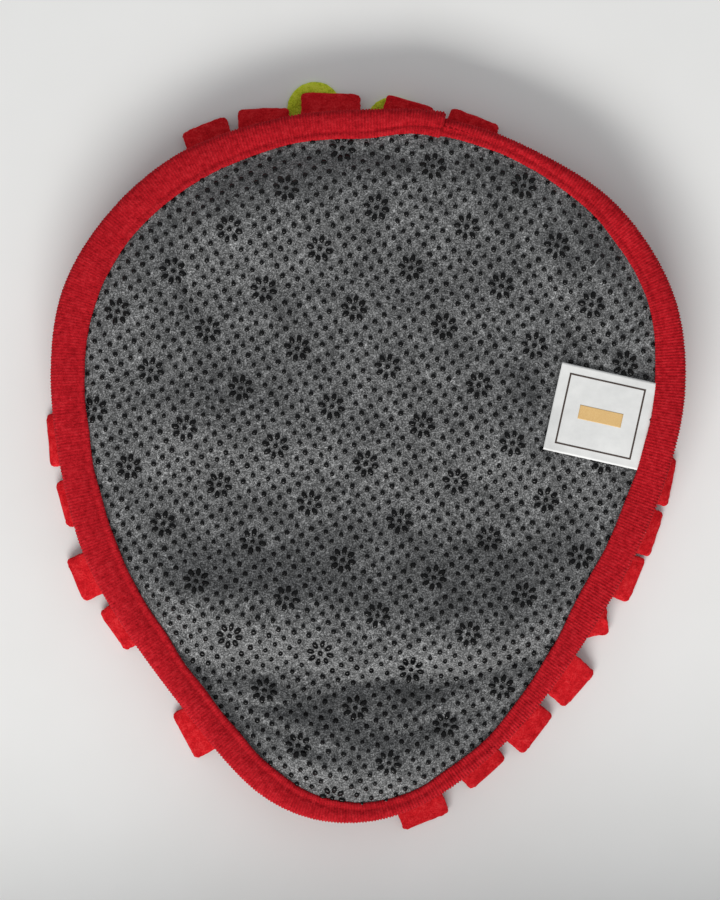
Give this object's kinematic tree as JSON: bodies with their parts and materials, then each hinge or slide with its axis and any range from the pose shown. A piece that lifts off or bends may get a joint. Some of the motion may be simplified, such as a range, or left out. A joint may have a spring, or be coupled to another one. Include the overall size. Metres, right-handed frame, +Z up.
{
  "type": "snuffle mat",
  "caption": "Berry-shaped pet snuffle mat lying face down: grey non-slip felt back, ribbed edge binding, sewn-in label, and red fleece strips and green leaves that lift on the hidden front.",
  "frame": {"origin": "middle of the footprint, on the surface that the mat lies on, face down", "axes": "+Y towards the stem end of the berry, +X to the right seen from above the back, +Z up out of the non-slip back"},
  "size_m": [0.322, 0.3782, 0.0276],
  "materials": {
    "grey_felt": "heather felt with raised glossy black dots",
    "red_rib_knit": "matte ribbed knit with a short nap",
    "red_fleece": "soft brushed fleece",
    "green_fleece": "soft brushed fleece",
    "red_base_cloth": "plain matte cloth",
    "wadding": "loose white wadding",
    "white_satin": "woven satin with a soft sheen",
    "red_thread": "spun sewing thread"
  },
  "bodies": {
    "mat_body": {"front_cloth": "red_base_cloth", "padding_core": "wadding", "back_felt": "grey_felt", "edge_binding": "red_rib_knit", "binding_thread": "red_thread", "calyx_pad": "green_fleece"},
    "care_label": {"care_label": "white_satin"},
    "calyx_leaf_1": {"calyx_leaf_1": "green_fleece"},
    "calyx_leaf_2": {"calyx_leaf_2": "green_fleece"},
    "calyx_leaf_3": {"calyx_leaf_3": "green_fleece"},
    "calyx_leaf_4": {"calyx_leaf_4": "green_fleece"},
    "calyx_leaf_5": {"calyx_leaf_5": "green_fleece"},
    "calyx_leaf_6": {"calyx_leaf_6": "green_fleece"},
    "calyx_leaf_7": {"calyx_leaf_7": "green_fleece"},
    "fringe_row_1": {"fringe_row_1": "red_fleece"},
    "fringe_row_2": {"fringe_row_2": "red_fleece"},
    "fringe_row_3": {"fringe_row_3": "red_fleece"},
    "fringe_row_4": {"fringe_row_4": "red_fleece"},
    "fringe_row_5": {"fringe_row_5": "red_fleece"},
    "fringe_row_6": {"fringe_row_6": "red_fleece"},
    "fringe_row_7": {"fringe_row_7": "red_fleece"},
    "edge_strip_01": {"edge_strip_01": "red_fleece"},
    "edge_strip_02": {"edge_strip_02": "red_fleece"},
    "edge_strip_03": {"edge_strip_03": "red_fleece"},
    "edge_strip_04": {"edge_strip_04": "red_fleece"},
    "edge_strip_05": {"edge_strip_05": "red_fleece"},
    "edge_strip_06": {"edge_strip_06": "red_fleece"},
    "edge_strip_07": {"edge_strip_07": "red_fleece"},
    "edge_strip_08": {"edge_strip_08": "red_fleece"},
    "edge_strip_09": {"edge_strip_09": "red_fleece"},
    "edge_strip_10": {"edge_strip_10": "red_fleece"},
    "edge_strip_11": {"edge_strip_11": "red_fleece"},
    "edge_strip_12": {"edge_strip_12": "red_fleece"},
    "edge_strip_13": {"edge_strip_13": "red_fleece"},
    "edge_strip_14": {"edge_strip_14": "red_fleece"},
    "edge_strip_15": {"edge_strip_15": "red_fleece"},
    "edge_strip_16": {"edge_strip_16": "red_fleece"},
    "edge_strip_17": {"edge_strip_17": "red_fleece"},
    "edge_strip_18": {"edge_strip_18": "red_fleece"},
    "edge_strip_19": {"edge_strip_19": "red_fleece"},
    "edge_strip_20": {"edge_strip_20": "red_fleece"},
    "edge_strip_21": {"edge_strip_21": "red_fleece"},
    "edge_strip_22": {"edge_strip_22": "red_fleece"},
    "edge_strip_23": {"edge_strip_23": "red_fleece"},
    "edge_strip_24": {"edge_strip_24": "red_fleece"},
    "edge_strip_25": {"edge_strip_25": "red_fleece"},
    "edge_strip_26": {"edge_strip_26": "red_fleece"},
    "edge_strip_27": {"edge_strip_27": "red_fleece"},
    "edge_strip_28": {"edge_strip_28": "red_fleece"},
    "edge_strip_29": {"edge_strip_29": "red_fleece"},
    "edge_strip_30": {"edge_strip_30": "red_fleece"},
    "edge_strip_31": {"edge_strip_31": "red_fleece"},
    "edge_strip_32": {"edge_strip_32": "red_fleece"},
    "edge_strip_33": {"edge_strip_33": "red_fleece"}
  },
  "joints": [
    {"name": "care_label_lift", "type": "hinge", "parent": "mat_body", "child": "care_label", "pos_m": [0.1414, 0.01442, 0.02684], "axis": [0.2164, 0.9763, 0], "range_deg": [0, 145]},
    {"name": "calyx_leaf_1_lift", "type": "hinge", "parent": "mat_body", "child": "calyx_leaf_1", "pos_m": [-0.00203, 0.12359, 0.00264], "axis": [-0.9135, -0.4067, 0], "range_deg": [0, 35]},
    {"name": "calyx_leaf_2_lift", "type": "hinge", "parent": "mat_body", "child": "calyx_leaf_2", "pos_m": [0.00263, 0.12396, 0.00264], "axis": [-0.9659, 0.2588, 0], "range_deg": [0, 35]},
    {"name": "calyx_leaf_3_lift", "type": "hinge", "parent": "mat_body", "child": "calyx_leaf_3", "pos_m": [0.00734, 0.11976, 0.00264], "axis": [-0.3665, 0.9304, 0], "range_deg": [0, 35]},
    {"name": "calyx_leaf_4_lift", "type": "hinge", "parent": "mat_body", "child": "calyx_leaf_4", "pos_m": [0.00676, 0.11349, 0.00264], "axis": [0.5299, 0.848, 0], "range_deg": [0, 35]},
    {"name": "calyx_leaf_5_lift", "type": "hinge", "parent": "mat_body", "child": "calyx_leaf_5", "pos_m": [0.00137, 0.11022, 0.00264], "axis": [0.9969, 0.0785, 0], "range_deg": [0, 35]},
    {"name": "calyx_leaf_6_lift", "type": "hinge", "parent": "mat_body", "child": "calyx_leaf_6", "pos_m": [-0.00446, 0.1126, 0.00264], "axis": [0.6561, -0.7547, 0], "range_deg": [0, 35]},
    {"name": "calyx_leaf_7_lift", "type": "hinge", "parent": "mat_body", "child": "calyx_leaf_7", "pos_m": [-0.00601, 0.11871, 0.00264], "axis": [-0.2164, -0.9763, 0], "range_deg": [0, 35]},
    {"name": "fringe_row_1_lift", "type": "hinge", "parent": "mat_body", "child": "fringe_row_1", "pos_m": [0.00182, 0.0552, 0.01573], "axis": [1, 0, 0], "range_deg": [0, 50]},
    {"name": "fringe_row_2_lift", "type": "hinge", "parent": "mat_body", "child": "fringe_row_2", "pos_m": [0.00036, 0.0272, 0.01573], "axis": [1, 0, 0], "range_deg": [0, 50]},
    {"name": "fringe_row_3_lift", "type": "hinge", "parent": "mat_body", "child": "fringe_row_3", "pos_m": [-0.00148, -0.0008, 0.01573], "axis": [1, 0, 0], "range_deg": [0, 50]},
    {"name": "fringe_row_4_lift", "type": "hinge", "parent": "mat_body", "child": "fringe_row_4", "pos_m": [-0.00344, -0.0288, 0.01573], "axis": [1, 0, 0], "range_deg": [0, 50]},
    {"name": "fringe_row_5_lift", "type": "hinge", "parent": "mat_body", "child": "fringe_row_5", "pos_m": [-0.00363, -0.0568, 0.01573], "axis": [1, 0, 0], "range_deg": [0, 50]},
    {"name": "fringe_row_6_lift", "type": "hinge", "parent": "mat_body", "child": "fringe_row_6", "pos_m": [-0.00301, -0.0848, 0.01573], "axis": [1, 0, 0], "range_deg": [0, 50]},
    {"name": "fringe_row_7_lift", "type": "hinge", "parent": "mat_body", "child": "fringe_row_7", "pos_m": [-0.00617, -0.1128, 0.01573], "axis": [1, 0, 0], "range_deg": [0, 50]},
    {"name": "edge_strip_01_lift", "type": "hinge", "parent": "mat_body", "child": "edge_strip_01", "pos_m": [0.1286, 0.02397, 0.01573], "axis": [0.1712, 0.9852, 0], "range_deg": [0, 40]},
    {"name": "edge_strip_02_lift", "type": "hinge", "parent": "mat_body", "child": "edge_strip_02", "pos_m": [0.12979, 0.04942, 0.01573], "axis": [-0.0668, 0.9978, 0], "range_deg": [0, 40]},
    {"name": "edge_strip_03_lift", "type": "hinge", "parent": "mat_body", "child": "edge_strip_03", "pos_m": [0.12487, 0.07276, 0.01573], "axis": [-0.3708, 0.9287, 0], "range_deg": [0, 40]},
    {"name": "edge_strip_04_lift", "type": "hinge", "parent": "mat_body", "child": "edge_strip_04", "pos_m": [0.11222, 0.09467, 0.01573], "axis": [-0.6038, 0.7972, 0], "range_deg": [0, 40]},
    {"name": "edge_strip_05_lift", "type": "hinge", "parent": "mat_body", "child": "edge_strip_05", "pos_m": [0.09467, 0.11183, 0.01573], "axis": [-0.8204, 0.5718, 0], "range_deg": [0, 40]},
    {"name": "edge_strip_06_lift", "type": "hinge", "parent": "mat_body", "child": "edge_strip_06", "pos_m": [0.06929, 0.12635, 0.01573], "axis": [-0.8926, 0.4508, 0], "range_deg": [0, 40]},
    {"name": "edge_strip_07_lift", "type": "hinge", "parent": "mat_body", "child": "edge_strip_07", "pos_m": [0.04531, 0.1437, 0.01573], "axis": [-0.9323, 0.3616, 0], "range_deg": [0, 40]},
    {"name": "edge_strip_08_lift", "type": "hinge", "parent": "mat_body", "child": "edge_strip_08", "pos_m": [0.01584, 0.15028, 0.01573], "axis": [-0.9613, 0.2756, 0], "range_deg": [0, 40]},
    {"name": "edge_strip_09_lift", "type": "hinge", "parent": "mat_body", "child": "edge_strip_09", "pos_m": [-0.01729, 0.15317, 0.01573], "axis": [-0.9996, 0.0292, 0], "range_deg": [0, 40]},
    {"name": "edge_strip_10_lift", "type": "hinge", "parent": "mat_body", "child": "edge_strip_10", "pos_m": [-0.04993, 0.14538, 0.01573], "axis": [-0.9995, -0.033, 0], "range_deg": [0, 40]},
    {"name": "edge_strip_11_lift", "type": "hinge", "parent": "mat_body", "child": "edge_strip_11", "pos_m": [-0.07059, 0.13935, 0.01573], "axis": [-0.9272, -0.3745, 0], "range_deg": [0, 40]},
    {"name": "edge_strip_12_lift", "type": "hinge", "parent": "mat_body", "child": "edge_strip_12", "pos_m": [-0.08677, 0.11825, 0.01573], "axis": [-0.7955, -0.6059, 0], "range_deg": [0, 40]},
    {"name": "edge_strip_13_lift", "type": "hinge", "parent": "mat_body", "child": "edge_strip_13", "pos_m": [-0.10623, 0.0993, 0.01573], "axis": [-0.6351, -0.7724, 0], "range_deg": [0, 40]},
    {"name": "edge_strip_14_lift", "type": "hinge", "parent": "mat_body", "child": "edge_strip_14", "pos_m": [-0.1195, 0.07882, 0.01573], "axis": [-0.4246, -0.9054, 0], "range_deg": [0, 40]},
    {"name": "edge_strip_15_lift", "type": "hinge", "parent": "mat_body", "child": "edge_strip_15", "pos_m": [-0.12501, 0.05975, 0.01573], "axis": [-0.1365, -0.9906, 0], "range_deg": [0, 40]},
    {"name": "edge_strip_16_lift", "type": "hinge", "parent": "mat_body", "child": "edge_strip_16", "pos_m": [-0.12614, 0.03633, 0.01573], "axis": [0.0268, -0.9996, 0], "range_deg": [0, 40]},
    {"name": "edge_strip_17_lift", "type": "hinge", "parent": "mat_body", "child": "edge_strip_17", "pos_m": [-0.13009, 0.01039, 0.01573], "axis": [0.0864, -0.9963, 0], "range_deg": [0, 40]},
    {"name": "edge_strip_18_lift", "type": "hinge", "parent": "mat_body", "child": "edge_strip_18", "pos_m": [-0.12451, -0.0171, 0.01573], "axis": [0.262, -0.9651, 0], "range_deg": [0, 40]},
    {"name": "edge_strip_19_lift", "type": "hinge", "parent": "mat_body", "child": "edge_strip_19", "pos_m": [-0.11902, -0.05169, 0.01573], "axis": [0.4028, -0.9153, 0], "range_deg": [0, 40]},
    {"name": "edge_strip_20_lift", "type": "hinge", "parent": "mat_body", "child": "edge_strip_20", "pos_m": [-0.10261, -0.07273, 0.01573], "axis": [0.5641, -0.8257, 0], "range_deg": [0, 40]},
    {"name": "edge_strip_21_lift", "type": "hinge", "parent": "mat_body", "child": "edge_strip_21", "pos_m": [-0.07856, -0.09211, 0.01573], "axis": [0.598, -0.8015, 0], "range_deg": [0, 40]},
    {"name": "edge_strip_22_lift", "type": "hinge", "parent": "mat_body", "child": "edge_strip_22", "pos_m": [-0.06511, -0.12796, 0.01573], "axis": [0.4762, -0.8793, 0], "range_deg": [0, 40]},
    {"name": "edge_strip_23_lift", "type": "hinge", "parent": "mat_body", "child": "edge_strip_23", "pos_m": [-0.0376, -0.14157, 0.01573], "axis": [0.7403, -0.6723, 0], "range_deg": [0, 40]},
    {"name": "edge_strip_24_lift", "type": "hinge", "parent": "mat_body", "child": "edge_strip_24", "pos_m": [-0.02106, -0.15124, 0.01573], "axis": [0.9549, -0.2969, 0], "range_deg": [0, 40]},
    {"name": "edge_strip_25_lift", "type": "hinge", "parent": "mat_body", "child": "edge_strip_25", "pos_m": [-0.00372, -0.15289, 0.01573], "axis": [0.9952, 0.0979, 0], "range_deg": [0, 40]},
    {"name": "edge_strip_26_lift", "type": "hinge", "parent": "mat_body", "child": "edge_strip_26", "pos_m": [0.02082, -0.15737, 0.01573], "axis": [0.9297, 0.3683, 0], "range_deg": [0, 40]},
    {"name": "edge_strip_27_lift", "type": "hinge", "parent": "mat_body", "child": "edge_strip_27", "pos_m": [0.04338, -0.13891, 0.01573], "axis": [0.7436, 0.6686, 0], "range_deg": [0, 40]},
    {"name": "edge_strip_28_lift", "type": "hinge", "parent": "mat_body", "child": "edge_strip_28", "pos_m": [0.06479, -0.12281, 0.01573], "axis": [0.6086, 0.7935, 0], "range_deg": [0, 40]},
    {"name": "edge_strip_29_lift", "type": "hinge", "parent": "mat_body", "child": "edge_strip_29", "pos_m": [0.08705, -0.09874, 0.01573], "axis": [0.6655, 0.7464, 0], "range_deg": [0, 40]},
    {"name": "edge_strip_30_lift", "type": "hinge", "parent": "mat_body", "child": "edge_strip_30", "pos_m": [0.09987, -0.07085, 0.01573], "axis": [0.5573, 0.8303, 0], "range_deg": [0, 40]},
    {"name": "edge_strip_31_lift", "type": "hinge", "parent": "mat_body", "child": "edge_strip_31", "pos_m": [0.11021, -0.05271, 0.01573], "axis": [0.3828, 0.9238, 0], "range_deg": [0, 40]},
    {"name": "edge_strip_32_lift", "type": "hinge", "parent": "mat_body", "child": "edge_strip_32", "pos_m": [0.11965, -0.03044, 0.01573], "axis": [0.3156, 0.9489, 0], "range_deg": [0, 40]},
    {"name": "edge_strip_33_lift", "type": "hinge", "parent": "mat_body", "child": "edge_strip_33", "pos_m": [0.12651, -0.00753, 0.01573], "axis": [0.1934, 0.9811, 0], "range_deg": [0, 40]}
  ],
  "couplings": [
    {"joint": "edge_strip_09_lift", "follows": "calyx_leaf_1_lift", "ratio": 1},
    {"joint": "edge_strip_10_lift", "follows": "calyx_leaf_1_lift", "ratio": 1},
    {"joint": "edge_strip_08_lift", "follows": "calyx_leaf_2_lift", "ratio": 1}
  ]
}
